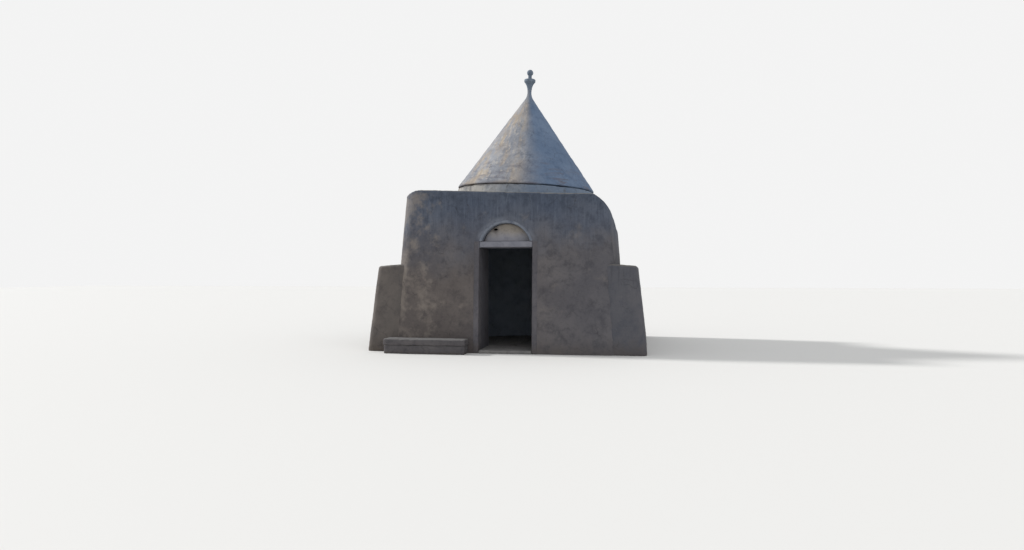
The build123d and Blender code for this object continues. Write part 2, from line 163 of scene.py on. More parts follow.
def render_relief(place):
    """How far hand-laid render stands out or in at a place on a wall, in metres."""
    low = smooth_step((0.9 - place.z) / 0.9)
    relief = 0.0060 * waves(place, 0.85, 2)
    relief += 0.0036 * waves(place + Vector((3.1, 0, 0)), 0.24)
    relief += 0.0013 * waves(place, 0.055, 2)
    lost = patches(place + Vector((0, 7.7, 0)), 0.42, 0.13 + 0.16 * low, 0.05)
    return relief - 0.0045 * lost


# Mesh making


def link(name, data):
    piece = bpy.data.objects.new(name, data)
    bpy.context.scene.collection.objects.link(piece)
    return piece


def ray_tree(*nodes):
    """A tree for finding the surface of some nodes."""
    joined = bmesh.new()
    for node in nodes:
        joined.from_mesh(frame["nodes"][node].data)
    tree = BVHTree.FromBMesh(joined)
    joined.free()
    return tree


def grid_mesh(name, points, closed=False, keep=None):
    """A mesh from rows of points; keep(centre) says which faces stay."""
    rows, columns = len(points), len(points[0])
    mesh = bpy.data.meshes.new(name)
    faces = []
    for row in range(rows - 1):
        for column in range(columns if closed else columns - 1):
            after = (column + 1) % columns
            face = (row * columns + column, row * columns + after,
                    (row + 1) * columns + after, (row + 1) * columns + column)
            if keep:
                corners = (points[row][column], points[row][after],
                           points[row + 1][after], points[row + 1][column])
                if not keep(sum(corners, Vector()) / 4):
                    continue
            faces.append(face)
    mesh.from_pydata([point for row in points for point in row], [], faces)
    tidy = bmesh.new()
    tidy.from_mesh(mesh)
    bmesh.ops.delete(tidy, geom=[v for v in tidy.verts if not v.link_faces], context="VERTS")
    tidy.to_mesh(mesh)
    tidy.free()
    mesh.shade_smooth()
    return mesh


def finish_piece(piece, slot, nodes=(), body="root"):
    """Rides, replaces, slots and paints a piece in one call."""
    piece.data.materials.clear()
    piece.data.materials.append(materials[slot])
    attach(piece, body)
    if nodes:
        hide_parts(*nodes)
    return piece


def finish_made(made, name, slot, nodes):
    """A finished piece from faces that are already made."""
    mesh = bpy.data.meshes.new(name)
    made.to_mesh(mesh)
    made.free()
    mesh.shade_smooth()
    return finish_piece(link(name, mesh), slot, nodes)


def neighbours_mean(places, edges):
    """Each vertex's mean of the vertices that its edges lead to."""
    total = np.zeros_like(places)
    count = np.zeros(len(places))
    for near, far in ((edges[:, 0], edges[:, 1]), (edges[:, 1], edges[:, 0])):
        np.add.at(total, near, places[far])
        np.add.at(count, near, 1)
    return total / np.maximum(count, 1)[:, None]


def vertex_array(mesh, kind):
    values = np.zeros(len(mesh.vertices) * 3)
    mesh.vertices.foreach_get(kind, values)
    return values.reshape(-1, 3)


def worn_copy(name, node, voxel, wear=0.8, rounds=6, relief=0.002, wave=0.12, chip=0.0, ground=False):
    """A node as a piece on an even grid, with edges worn unevenly and a rough face."""
    mesh = bpy.data.meshes.new(name)
    joined = bmesh.new()
    joined.from_mesh(frame["nodes"][node].data)
    bmesh.ops.remove_doubles(joined, verts=joined.verts, dist=1e-5)
    joined.to_mesh(mesh)
    joined.free()
    piece = link(name, mesh)
    remesh = piece.modifiers.new("even grid", "REMESH")
    remesh.mode = "VOXEL"
    remesh.voxel_size = voxel
    bpy.context.view_layer.update()
    even = bpy.data.meshes.new_from_object(piece.evaluated_get(bpy.context.evaluated_depsgraph_get()))
    piece.modifiers.clear()
    piece.data = even
    bpy.data.meshes.remove(mesh)

    places, normals = vertex_array(even, "co"), vertex_array(even, "normal")
    edges = np.zeros(len(even.edges) * 2, np.int64)
    even.edges.foreach_get("vertices", edges)
    edges = edges.reshape(-1, 2)
    softened = places.copy()
    for _ in range(rounds):
        softened = (softened + neighbours_mean(softened, edges)) / 2
    shares, raised = np.zeros(len(places)), np.zeros(len(places))
    for index, place in enumerate(map(Vector, places)):
        share = wear * (0.65 + 0.75 * waves(place, 5 * voxel + wave, 3))
        share += chip * patches(place, 0.07, 0.3, 0.1)
        shares[index] = min(2.2, max(0.25, share))
        raised[index] = relief * (waves(place, wave, 3) + 0.4 * waves(place, wave / 5, 2))
    places = places + (softened - places) * shares[:, None] + normals * raised[:, None]
    if ground:
        places[:, 2] = np.maximum(0, places[:, 2])
    even.vertices.foreach_set("co", places.ravel())
    even.update()
    even.shade_smooth()
    return piece


def worn_piece(name, slot, node, voxel, **wear):
    """A worn copy that takes its node's place."""
    return finish_piece(worn_copy(name, node, voxel, **wear), slot, [node])


# Materials


class Paint:
    """A material's nodes, made by short calls; places are object coordinates, so joints match."""

    def __init__(self, name, roughness=0.9, specular=0.25, shift=0.0, size=1.0):
        self.material = bpy.data.materials.new(name)
        self.material.use_nodes = True
        self.tree = self.material.node_tree
        self.shader = self.tree.nodes["Principled BSDF"]
        self.shader.inputs["Roughness"].default_value = roughness
        self.shader.inputs["Specular IOR Level"].default_value = specular
        self.place = self.tree.nodes.new("ShaderNodeTexCoord").outputs["Object"]
        clouds = self.noise(0.85 * size, 4, 0.55, self.stretched(shift=shift))
        self.blotches = self.noise(0.21 * size, 9, 0.68, self.stretched(shift=shift + 3.7), 0.15)
        small = self.noise(0.050 * size, 8, 0.70, self.stretched(shift=shift + 8.1))
        grit = self.noise(0.012, 5, 0.70)
        self.masks = (
            (self.band(clouds, 0.34, 0.70), 1.0, "pale"),
            (self.band(self.blotches, 0.44, 0.72), 1.0, "dark"),
            (self.band(small, 0.50, 0.78), 0.55, "pale"),
            (self.band(small, 0.48, 0.26), 0.60, "dark"),
            (self.band(grit, 0.42, 0.26), 0.45, "pale"),
            (self.band(grit, 0.56, 0.74), 0.60, "dark"),
        )

    def node(self, kind, **inputs):
        made = self.tree.nodes.new(kind)
        for name, value in inputs.items():
            self.feed(made.inputs[name.replace("_", " ")], value)
        return made

    def feed(self, socket, value):
        if isinstance(value, bpy.types.NodeSocket):
            self.tree.links.new(value, socket)
        else:
            socket.default_value = value

    def stretched(self, x=1.0, y=1.0, z=1.0, shift=0.0):
        """The place scaled along each axis, for streaks and for layers that don't repeat."""
        made = self.node("ShaderNodeMapping", Vector=self.place, Scale=(x, y, z), Location=(shift,) * 3)
        return made.outputs["Vector"]

    def noise(self, size, detail=6.0, rough=0.55, place=None, bend=0.0):
        made = self.node("ShaderNodeTexNoise", Vector=place or self.place, Scale=1 / size, Detail=detail,
                         Roughness=rough, Distortion=bend)
        return made.outputs["Fac"]

    def cracks(self, size, cover):
        """Hairline cracks between wandering cells, of which only the given cover shows."""
        bend = self.tree.nodes.new("ShaderNodeTexNoise")
        bend.inputs["Scale"].default_value = 3 / size
        bend.inputs["Detail"].default_value = 6.0
        self.feed(bend.inputs["Vector"], self.place)
        bent = self.tree.nodes.new("ShaderNodeVectorMath")
        bent.operation = "MULTIPLY_ADD"
        for socket, value in zip(bent.inputs, (bend.outputs["Color"], (0.3 * size,) * 3, self.place)):
            self.feed(socket, value)
        cells = self.tree.nodes.new("ShaderNodeTexVoronoi")
        cells.feature = "DISTANCE_TO_EDGE"
        self.feed(cells.inputs["Scale"], 1 / size)
        self.feed(cells.inputs["Vector"], bent.outputs[0])
        broad = self.noise(1.4 * size, 4, 0.6, self.stretched(shift=12.7))
        shown = self.band(broad, 0.62 - cover, 0.72 - cover)
        return self.both(self.band(cells.outputs["Distance"], 0.0022 / size, 0.0008 / size), shown)

    def math(self, kind, first, second=0.0):
        made = self.tree.nodes.new("ShaderNodeMath")
        made.operation = kind
        self.feed(made.inputs[0], first)
        self.feed(made.inputs[1], second)
        return made.outputs[0]

    def band(self, value, low, high):
        """0 below low, 1 above high and smooth between; low may be the larger for the reverse."""
        made = self.tree.nodes.new("ShaderNodeMapRange")
        made.interpolation_type = "SMOOTHSTEP"
        turned = low > high
        self.feed(made.inputs["Value"], value)
        made.inputs["From Min"].default_value = min(low, high)
        made.inputs["From Max"].default_value = max(low, high)
        made.inputs["To Min"].default_value = 1.0 if turned else 0.0
        made.inputs["To Max"].default_value = 0.0 if turned else 1.0
        return made.outputs["Result"]

    def mix(self, share, under, over):
        made = self.tree.nodes.new("ShaderNodeMix")
        made.data_type = "RGBA"
        made.clamp_factor = True
        for socket, value in ((made.inputs[0], share), (made.inputs[6], under), (made.inputs[7], over)):
            self.feed(socket, value)
        return made.outputs[2]

    def plus(self, first, second):
        return self.math("ADD", first, second)

    def minus(self, first, second):
        return self.math("SUBTRACT", first, second)

    def share(self, value, amount):
        return self.math("MULTIPLY", value, amount)

    both = share

    def ragged(self, value, reach):
        """A value whose bands get uneven edges from the blotches."""
        return self.plus(value, self.share(self.blotches, reach))

    def lay(self, mask, strength, under, over):
        """A colour laid over another where the mask is, at a share of its full strength."""
        return self.mix(self.share(mask, strength), under, over)

    def axis(self, name, vector=None):
        return self.node("ShaderNodeSeparateXYZ", Vector=vector or self.place).outputs[name]

    def joined(self, x, y, z):
        return self.node("ShaderNodeCombineXYZ", X=x, Y=y, Z=z).outputs[0]

    def distance(self, x=0.0, y=0.0, z=0.0, plane="XYZ"):
        """Distance from a point, counted along the named axes only."""
        scale = [1.0 if name in plane else 0.0 for name in "XYZ"]
        shifted = self.node("ShaderNodeMapping", Vector=self.place, Scale=scale,
                            Location=[-value * flag for value, flag in zip((x, y, z), scale)])
        made = self.node("ShaderNodeVectorMath", Vector=shifted.outputs[0])
        made.operation = "LENGTH"
        return made.outputs["Value"]

    def facing(self, name):
        """The part of the surface's own direction along one axis."""
        normal = self.tree.nodes.new("ShaderNodeTexCoord").outputs["Normal"]
        return self.axis(name, normal)

    def coats(self, middle, pale, dark, pale_share=0.7, dark_share=0.7):
        """Lime render in soft-edged depths: broad clouds, blotches, small mottling and grit."""
        base = middle
        for mask, weight, kind in self.masks:
            share, over = (pale_share, pale) if kind == "pale" else (dark_share, dark)
            base = self.mix(self.share(mask, weight * share), base, over)
        return base

    def bump(self, *layers):
        """Bumps in metres, the largest first."""
        normal = None
        for height, depth in layers:
            made = self.node("ShaderNodeBump", Height=height, Strength=1.0, Distance=depth)
            if normal:
                self.tree.links.new(normal, made.inputs["Normal"])
            normal = made.outputs["Normal"]
        self.tree.links.new(normal, self.shader.inputs["Normal"])

    def done(self, colour):
        self.feed(self.shader.inputs["Base Color"], colour)
        return self.material


def colour(red, green, blue):
    """A colour written as it looks on the screen, 0 to 255."""
    def linear(value):
        value /= 255
        return value / 12.92 if value <= 0.04045 else ((value + 0.055) / 1.055) ** 2.4
    return (linear(red), linear(green), linear(blue), 1.0)


TERRACE_LIME = (colour(108, 106, 102), colour(132, 128, 120), colour(76, 76, 76))


def rough_bump(paint, coarse=0.008, *more):
    """Trowelled lumps, sand and fine grit."""
    paint.bump((paint.noise(0.11, 6, 0.6), coarse), (paint.noise(0.021, 5, 0.65), 0.0034),
               (paint.noise(0.0055, 3, 0.6), 0.0011), *more)


def cracked(paint, base, size, cover, dark, coarse=0.008):
    """Hairline cracks in colour and depth, with the rough surface."""
    lines = paint.cracks(size, cover)
    rough_bump(paint, coarse, (lines, -0.003))
    return paint.done(paint.lay(lines, 0.6, base, dark))


def wall_render():
    """Taupe lime render: warm below, dark with growth at the top and streaked down from it, with a cool,
    darker cast of painted shade and sky light above and to the right, and painted sunlit patches on the
    front's left.
    """
    paint = Paint("wall_render")
    height = paint.axis("Z")
    base = paint.coats(colour(88, 82, 80), colour(105, 98, 94), colour(68, 64, 65), 0.85, 0.75)
    wander = paint.noise(0.6, 5, 0.6, paint.stretched(shift=5.5))
    over = paint.plus(height, wander)
    # A cool, darker cast high up and towards the right: painted shade and sky light, faded on the faces
    # turned back and left.
    cool = paint.band(paint.plus(over, paint.share(wander, 0.1)), 1.8, 3.5)
    right = paint.band(paint.plus(paint.axis("X"), wander), -0.9, 2.6)
    towards = paint.minus(paint.axis("Y"), paint.share(paint.axis("X"), 0.8))
    shaded = paint.plus(paint.share(paint.band(towards, 0.9, -0.9), 0.65), 0.35)
    cool = paint.both(paint.math("MAXIMUM", cool, paint.share(right, 0.35)), shaded)
    base = paint.lay(cool, 0.85, base,
                     paint.coats(colour(73, 84, 102), colour(90, 99, 114), colour(56, 65, 80), 0.8, 0.8))
    run = paint.noise(0.045, 6, 0.62, paint.stretched(1, 1, 0.085, 9.0))
    wide_run = paint.noise(0.17, 5, 0.6, paint.stretched(1, 1, 0.12, 4.0))
    reach = paint.plus(height, paint.ragged(paint.share(wide_run, 1.9), 0.7))
    base = paint.lay(paint.band(reach, 3.55, 4.75), 0.50, base, colour(52, 58, 69))
    upper = paint.band(over, 2.0, 3.2)
    base = paint.lay(paint.both(paint.band(run, 0.50, 0.70), upper), 0.32, base, colour(50, 56, 66))
    base = paint.lay(paint.both(paint.band(run, 0.47, 0.30), upper), 0.24, base, colour(112, 119, 130))
    lime = paint.noise(0.40, 8, 0.66, paint.stretched(shift=15.3), 0.1)
    # The paler patches towards the front's left are painted dappled sunlight; the rest are real pale lime
    # patches.
    corner = paint.band(paint.minus(lime, paint.share(paint.axis("X"), 0.16)), 0.72, 0.94)
    corner = paint.both(corner, paint.band(paint.axis("Y"), -1.2, -1.9))
    lime = paint.math("MAXIMUM", paint.share(paint.band(lime, 0.56, 0.74), 0.24), paint.share(corner, 0.60))
    base = paint.mix(lime, base, colour(138, 129, 120))
    crown = paint.distance(z=ARCH_CENTRE, plane="XZ")
    over_arch = paint.band(crown, ARCH_OUTER + 0.10, ARCH_OUTER + 0.01)
    over_arch = paint.both(over_arch, paint.band(height, 2.05, 2.2))
    over_arch = paint.both(over_arch, paint.band(paint.axis("Y"), -1.5, -1.7))
    base = paint.lay(paint.both(over_arch, paint.band(paint.blotches, 0.42, 0.60)), 0.5, base,
                     colour(122, 127, 137))
    foot = paint.band(paint.ragged(height, 0.7), 0.72, 0.30)
    base = paint.lay(foot, 0.40, base, colour(72, 65, 60))
    top = paint.band(paint.facing("Z"), 0.55, 0.90)
    base = paint.lay(top, 0.85, base, paint.coats(*TERRACE_LIME))
    within = paint.distance(plane="XY")
    reveal = paint.band(within, REVEAL_EDGE, REVEAL_FULL)
    reveal = paint.both(reveal, paint.band(height, LINTEL_TOP + 0.05, LINTEL_TOP))
    base = paint.mix(reveal, base, paint.coats(colour(80, 79, 84), colour(93, 91, 95), colour(66, 65, 69)))
    # Blue-grey limewash on the room's walls inside; its blue is partly a painted cool cast of light.
    inside = paint.band(within, ROOM_RADIUS + 0.012, ROOM_RADIUS + 0.002)
    inside = paint.both(inside, paint.band(height, WALL_HEIGHT + 0.05, WALL_HEIGHT))
    base = paint.mix(inside, base,
                     paint.coats(colour(118, 126, 138), colour(130, 137, 147), colour(98, 105, 118)))
    return cracked(paint, base, 0.42, 0.10, colour(48, 46, 48))


def ledge_render():
    """The same render, more worn along the top edges."""
    paint = Paint("ledge_render", shift=21.0)
    height = paint.axis("Z")
    base = paint.coats(colour(89, 84, 81), colour(107, 100, 95), colour(70, 66, 66), 0.8, 0.6)
    # A cool cast towards the right: painted shade and sky light.
    right = paint.band(paint.plus(paint.axis("X"), paint.noise(0.6, 5, 0.6)), -0.9, 2.6)
    base = paint.lay(right, 0.32, base, colour(72, 85, 105))
    run = paint.noise(0.06, 6, 0.62, paint.stretched(1, 1, 0.10, 19.0))
    streak = paint.both(paint.band(run, 0.50, 0.70), paint.band(height, 0.7, 1.6))
    base = paint.lay(streak, 0.35, base, colour(60, 60, 66))
    top = paint.band(paint.ragged(paint.facing("Z"), 0.5), 0.55, 1.0)
    base = paint.lay(top, 0.75, base,
                     paint.coats(colour(114, 110, 105), colour(136, 131, 124), colour(80, 79, 79)))
    foot = paint.band(paint.ragged(height, 0.7), 0.72, 0.28)
    base = paint.lay(foot, 0.45, base, colour(78, 69, 61))
    return cracked(paint, base, 0.36, 0.13, colour(48, 46, 48))


def surround_render():
    """Smoother render: wall-toned on the strips, paler on the lintel and on the arch's rim."""
    paint = Paint("surround_render", 0.85, shift=3.3, size=0.6)
    height = paint.axis("Z")
    base = paint.coats(colour(82, 80, 84), colour(99, 96, 99), colour(66, 65, 70), 0.85, 0.8)
    pale = paint.coats(colour(117, 118, 126), colour(134, 133, 139), colour(97, 98, 107))
    between = paint.band(paint.distance(plane="X"), DOOR_HALF + 0.012, DOOR_HALF)
    lintel = paint.both(between, paint.band(height, DOOR_HEIGHT - 0.02, DOOR_HEIGHT))
    base = paint.mix(lintel, base, pale)
    rim = paint.band(height, LINTEL_TOP - 0.01, LINTEL_TOP + 0.02)
    base = paint.mix(rim, base,
                     paint.coats(colour(98, 104, 115), colour(128, 132, 140), colour(78, 85, 98), 0.9, 0.9))
    foot = paint.band(paint.ragged(height, 0.5), 0.50, 0.22)
    base = paint.lay(foot, 0.5, base, colour(78, 70, 64))
    rough_bump(paint, 0.005)
    return paint.done(base)


def lunette_render():
    """Sheltered lime: warm cream at its head, paler and cooler over the lintel, stained under the vent."""
    paint = Paint("lunette_render", 0.85, shift=4.4, size=0.5)
    height = paint.axis("Z")
    base = paint.coats(colour(148, 141, 133), colour(168, 159, 147), colour(122, 117, 114))
    lower = paint.band(paint.plus(height, paint.share(paint.noise(0.2, 6), 0.16)), 2.40, 2.20)
    base = paint.mix(lower, base,
                     paint.coats(colour(151, 151, 158), colour(168, 165, 169), colour(128, 127, 135)))
    vent = paint.distance(x=VENT_X, z=VENT_HEIGHT, plane="XZ")
    soot = paint.band(paint.plus(vent, paint.share(paint.noise(0.04, 5), 0.06)), 0.115, 0.055)
    base = paint.lay(soot, 0.6, base, colour(80, 76, 75))
    # Darker along the panel's edge under the arch's rim.
    edge = paint.band(paint.distance(z=ARCH_CENTRE, plane="XZ"), LUNETTE_EDGE_DARK_START, LUNETTE_EDGE_DARK_FULL)
    base = paint.lay(edge, 0.45, base, colour(104, 98, 96))
    rough_bump(paint, 0.004)
    return paint.done(base)


def roof_places(paint):
    """The place counted from the roof's leaning axis and from the terrace."""
    lean = tan(ROOF_LEAN)
    over = paint.minus(paint.axis("Z"), TERRACE_HEIGHT)
    across = paint.minus(paint.minus(paint.axis("X"), ROOF_SHIFT), paint.share(over, lean))
    height = paint.plus(over, paint.share(across, lean))
    return across, paint.axis("Y"), height


def band_render():
    """Thick pale mortar, rain-washed and darker in its gaps, with painted shadow under the cone's foot on the
    left and a cool cast of painted shade and sky light towards the right.
    """
    paint = Paint("band_render", shift=1.9, size=0.45)
    x, y, z = roof_places(paint)
    base = paint.coats(colour(144, 144, 145), colour(168, 165, 159), colour(108, 111, 117))
    broad = paint.noise(0.5, 5, 0.6, paint.stretched(shift=3.3))
    warm = paint.band(paint.minus(broad, paint.share(x, 0.14)), 0.46, 0.70)
    base = paint.lay(warm, 0.5, base, colour(174, 167, 155))
    # A cool cast towards the right and front: painted shade and sky light.
    cool = paint.band(paint.plus(x, broad), -0.4, 1.1)
    cool = paint.both(cool, paint.band(y, 0.9, -0.5))
    base = paint.lay(cool, 0.75, base, colour(100, 119, 143))
    gap = paint.band(paint.noise(0.13, 7, 0.65, paint.stretched(1, 1, 0.6, 8.8)), 0.56, 0.66)
    base = paint.lay(gap, 0.6, base, colour(92, 91, 94))
    # Dark line at the head, mostly on the left: painted shadow under the cone's overhanging foot.
    head = paint.band(paint.ragged(z, 0.06), BAND_HEIGHT - 0.015, BAND_HEIGHT + 0.02)
    head = paint.both(head, paint.share(paint.band(paint.plus(x, broad), 0.9, -0.5), 0.8))
    base = paint.mix(head, base, colour(66, 62, 62))
    rough_bump(paint, 0.012)
    return paint.done(base)


def cone_render():
    """Grey lime coats streaked down the slope: ochre and pinkish lichen on the left flank, with cream
    speckles there that are partly painted sunlit highlights; a slate-blue right flank that is painted shade
    and sky light; darker layers low down, partly a painted tree shadow.
    """
    paint = Paint("cone_render", shift=10.0, size=0.8)
    x, y, z = roof_places(paint)
    radius = paint.math("SQRT", paint.plus(paint.both(x, x), paint.both(y, y)))
    side, depth = paint.math("DIVIDE", x, radius), paint.math("DIVIDE", y, radius)
    slope = paint.joined(side, depth, paint.share(z, 0.13))
    rings = paint.joined(paint.share(side, 0.55), paint.share(depth, 0.55), paint.share(z, 2.2))
    wander = paint.noise(0.5, 6, 0.6, paint.stretched(shift=1.1))
    base = paint.coats(colour(134, 136, 142), colour(156, 157, 161), colour(104, 109, 118))
    run = paint.noise(0.055, 7, 0.62, slope)
    base = paint.lay(paint.band(run, 0.52, 0.70), 0.42, base, colour(94, 97, 106))
    base = paint.lay(paint.band(run, 0.46, 0.30), 0.35, base, colour(166, 165, 165))
    # The left flank, the sunlit side: the lichen and cream below keep to it, so their warmth there is partly
    # painted sunlight.
    left = paint.band(paint.plus(paint.minus(wander, side), paint.share(depth, -0.3)), 0.25, 1.15)
    ochre = paint.noise(0.27, 9, 0.66, paint.joined(side, depth, paint.share(z, 0.5)), 0.5)
    ochre = paint.both(left, paint.band(ochre, 0.42, 0.62))
    base = paint.lay(ochre, 0.72, base,
                     paint.coats(colour(160, 144, 124), colour(184, 167, 142), colour(126, 115, 106)))
    # Cream speckles on the left flank: partly lichen, partly painted sunlit highlights.
    cream = paint.noise(0.075, 8, 0.68, paint.joined(side, depth, paint.share(z, 0.7)))
    cream = paint.both(left, paint.band(cream, 0.52, 0.68))
    base = paint.lay(cream, 0.55, base, colour(202, 190, 173))
    # Slate-blue right flank: painted shade and sky light, fading towards the back.
    right = paint.band(paint.plus(side, paint.share(wander, 0.4)), 0.12, 0.66)
    right = paint.both(right, paint.band(paint.minus(depth, paint.share(wander, 0.6)), 0.35, -0.45))
    base = paint.lay(right, 0.85, base,
                     paint.coats(colour(87, 109, 137), colour(103, 123, 149), colour(71, 91, 118)))
    # Darker layered mottling low down: partly real layers in the coats, partly a painted tree shadow.
    low = paint.band(paint.plus(z, paint.share(wander, 0.9)), 1.45, 0.75)
    layers_and_painted_shadow = paint.band(paint.noise(0.16, 8, 0.66, rings, 0.4), 0.50, 0.64)
    base = paint.lay(paint.both(low, layers_and_painted_shadow), 0.72, base, colour(98, 97, 107))
    lip = paint.band(paint.plus(z, paint.share(wander, 0.10)), BAND_HEIGHT + 0.13, BAND_HEIGHT + 0.05)
    base = paint.lay(paint.both(lip, left), 0.6, base, colour(92, 87, 90))
    tip = paint.band(z, 1.95, 2.30)
    base = paint.lay(tip, 0.7, base, colour(112, 120, 132))
    return cracked(paint, base, 0.30, 0.13, colour(70, 70, 76), 0.011)


def weathered_stone(name, middle, pale, dark, shift, size=0.4, top=None, foot=None):
    """Worn limestone, each stone in its own tone, lighter where feet and rain reach it."""
    paint = Paint(name, 0.85, shift=shift, size=size)
    base = paint.coats(middle, pale, dark)
    tone = paint.node("ShaderNodeAttribute")
    tone.attribute_name = "tone"
    base = paint.lay(tone.outputs["Fac"], 0.55, base, dark)
    if top:
        up = paint.band(paint.ragged(paint.facing("Z"), 0.4), 0.55, 0.95)
        base = paint.lay(up, 0.85, base, top)
    if foot:
        low = paint.band(paint.ragged(paint.axis("Z"), 0.22), 0.18, 0.08)
        base = paint.lay(low, 0.7, base, foot)
    paint.bump((paint.noise(0.05, 6, 0.62), 0.005), (paint.noise(0.012, 5, 0.65), 0.002),
               (paint.noise(0.004, 3, 0.6), 0.0008))
    return paint.done(base)


materials = {
    "wall_plaster": wall_render(),
    "ledge_plaster": ledge_render(),
    "surround_plaster": surround_render(),
    "lunette_plaster": lunette_render(),
    "band_plaster": band_render(),
    "cone_plaster": cone_render(),
    "bench_stone": weathered_stone(
        "bench_stone", colour(81, 78, 80), colour(98, 94, 94), colour(61, 59, 62), 2.0, 0.4,
        top=colour(112, 110, 109), foot=colour(74, 67, 61)),
    "terrace_plaster": weathered_stone("terrace_plaster", *TERRACE_LIME, 6.1, 0.7),
    "pinnacle_stone": weathered_stone(
        "pinnacle_stone", colour(98, 110, 124), colour(119, 129, 141), colour(74, 85, 99), 3.0, 0.15),
    "dome_stone": weathered_stone(
        "dome_stone", colour(112, 104, 95), colour(136, 126, 113), colour(72, 67, 63), 5.0, 0.3),
    "floor_stone": weathered_stone(
        "floor_stone", colour(116, 114, 113), colour(134, 131, 127), colour(86, 84, 84), 8.0, 0.3),
}

for part in frame["record"]["subparts"]:
    mesh = frame["nodes"][part["node"]].data
    mesh.materials.clear()
    mesh.materials.append(materials[part["material_slot"]])


# Wall render


WALL_NODES = [node for node in frame["nodes"] if "_wall_" in node] + ["roof_terrace"]
wall_tree = ray_tree(*WALL_NODES)


def half_sizes(height):
    """Half of the wall block's width and depth at a height."""
    return (WALL_HALF_WIDTH - height * tan(radians(SIDE_BATTER)),
            WALL_HALF_DEPTH - height * tan(radians(FRONT_BATTER)))


def along_face(start, height, across):
    """Place along a flat face at a height: straight up near the middle, drawn in towards the corners."""
    half, top_half = half_sizes(0)[across] - WALL_CORNER, half_sizes(height)[across] - WALL_CORNER
    share = max(0.0, (abs(start) - PLAIN_HALF) / (half - PLAIN_HALF))
    return start - (half - top_half) * share * (1 if start > 0 else -1)


def wall_point(quarter, kind, value, height):
    """A plan point and its outward direction on one side's face or on the corner after it."""
    across = quarter % 2
    half, depth = half_sizes(height)[across], half_sizes(height)[1 - across]
    if kind == "face":
        x, y, angle = along_face(value, height, across), -depth, -pi / 2
    else:
        angle = value
        side = 1 if cos(angle) > 0 else -1
        x = side * (half - WALL_CORNER) + WALL_CORNER * cos(angle)
        y = -(depth - WALL_CORNER) + WALL_CORNER * sin(angle)
    turn = Matrix.Rotation(quarter * pi / 2, 2)
    return turn @ Vector((x, y)) + Vector((WALL_SHIFT, 0)), turn @ Vector((cos(angle), sin(angle)))


def face_columns(quarter, spacing):
    half = half_sizes(0)[quarter % 2] - WALL_CORNER
    count = ceil(2 * half / spacing)
    return [("face", -half + 2 * half * step / count) for step in range(count + 1)]


def corner_columns(start, end, spacing):
    count = ceil(abs(end - start) * WALL_CORNER / spacing)
    return [("corner", start + (end - start) * step / count) for step in range(count + 1)]


def kept_outside(place, least):
    """The place, moved straight out where it lies less than the given depth outside the solids."""
    nearest, normal, _, _ = wall_tree.find_nearest(place)
    depth = (place - nearest) @ normal
    return place + normal * (least - depth) if depth < least and normal.z > -0.5 else place


def faces_kept_outside(points, first_row, least):
    """Pushes out the corners of each face whose middle lies less than the given depth outside."""
    for row in range(first_row, len(points) - 1):
        for column in range(len(points[0]) - 1):
            corners = [(row, column), (row, column + 1), (row + 1, column + 1), (row + 1, column)]
            middle = sum((points[r][c] for r, c in corners), Vector()) / 4
            push = kept_outside(middle, least) - middle
            if push.length > 0:
                for r, c in corners:
                    points[r][c] = points[r][c] + push


def hit(tree, origin, direction, reach):
    return tree.ray_cast(origin, direction, reach)[0]


def plain_front(x, height):
    """The front face as it would be without the door."""
    half, depth = half_sizes(height)
    return Vector((x, -depth - FACE_BULGE * (1 - ((x - WALL_SHIFT) / half) ** 2), height))


def column_path(quarter, kind, value, heights, top_rows):
    """Points up one column of a wall, over its edge and across the terrace to the band."""
    path = []
    for height in heights:
        plan, out = wall_point(quarter, kind, value, height)
        away = out.to_3d()
        flat = plan.to_3d() + Vector((0, 0, height))
        place = hit(wall_tree, flat + away * PROBE_START, -away, PROBE_REACH) or flat
        if beside_surround(flat) < 0.02:
            place = plain_front(flat.x, height)
        path.append(place)
    start = path[-1]
    inward = Vector((-start.x, -start.y, 0)).normalized()
    centre = start + inward * TURN_DEPTH
    over = [start]
    for step in range(1, TURN_STEPS):
        angle = step * TURN_STEP
        away = -inward * cos(angle) + Vector((0, 0, sin(angle)))
        place = hit(wall_tree, centre + away * FAR, -away, FAR)
        if place is None:
            continue
        radial = roof_matrix.inverted() @ place
        over.append(place)
        if hypot(radial.x, radial.y) < band_foot + 0.004:
            break
    lengths = np.cumsum([0] + [(b - a).length for a, b in zip(over, over[1:])])
    places = np.array(over)
    wanted = np.linspace(0, lengths[-1], top_rows + 1)[1:]
    for _ in range(2):
        places[1:-1] = (places[:-2] + 2 * places[1:-1] + places[2:]) / 4
    resampled = np.stack([np.interp(wanted, lengths, places[:, axis]) for axis in range(3)], axis=1)
    return path + [Vector(point) for point in resampled]


